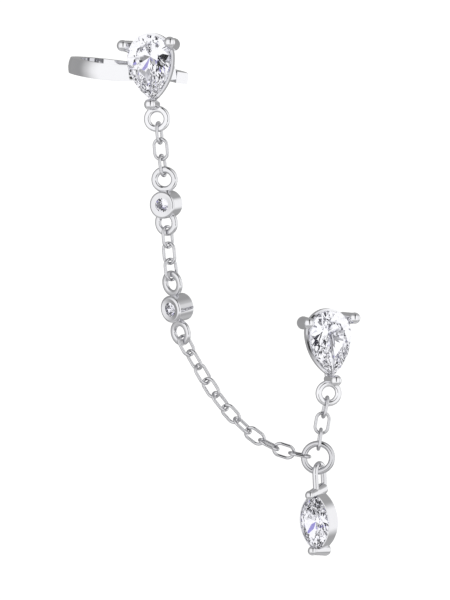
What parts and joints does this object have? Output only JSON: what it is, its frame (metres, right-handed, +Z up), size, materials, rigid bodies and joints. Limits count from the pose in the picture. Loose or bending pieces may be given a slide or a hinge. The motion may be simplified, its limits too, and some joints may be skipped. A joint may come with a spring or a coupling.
{
  "type": "ear chain earring",
  "caption": "Stud and ear cuff joined by a swag of oval links, with a marquise pendant hanging from the jump ring where the chains meet.",
  "frame": {"origin": "where the ear post leaves the back of the stud setting, at the front of the ear lobe", "axes": "+Z up as it hangs, +Y back along the ear post, +X to the right seen from the front"},
  "size_m": [0.0266, 0.0147, 0.0477],
  "materials": {
    "silver": "polished",
    "crystal": "polished"
  },
  "bodies": {
    "hung_chain": {"ear_cuff": "silver", "cuff_stone": "crystal", "top_link_1": "silver", "top_link_2": "silver", "top_link_3": "silver", "bezel_upper": "silver", "bezel_upper_stone": "crystal", "middle_link_1": "silver", "middle_link_2": "silver", "middle_link_3": "silver", "bezel_lower": "silver", "bezel_lower_stone": "crystal", "long_link_1": "silver", "long_link_2": "silver", "long_link_3": "silver", "long_link_4": "silver", "long_link_5": "silver", "long_link_6": "silver", "long_link_7": "silver", "long_link_8": "silver", "long_link_9": "silver", "long_link_10": "silver", "long_link_11": "silver", "jump_ring": "silver", "drop_link_1": "silver", "drop_link_2": "silver", "drop_link_3": "silver", "stud_setting": "silver", "stud_stone": "crystal"},
    "pendant": {"pendant_setting": "silver", "pendant_stone": "crystal"}
  },
  "joints": [
    {"name": "pendant_swing", "type": "hinge", "parent": "hung_chain", "child": "pendant", "pos_m": [-0.00001, -0.00099, -0.01278], "axis": [1, 0, 0], "range_deg": [-60, 60]}
  ]
}
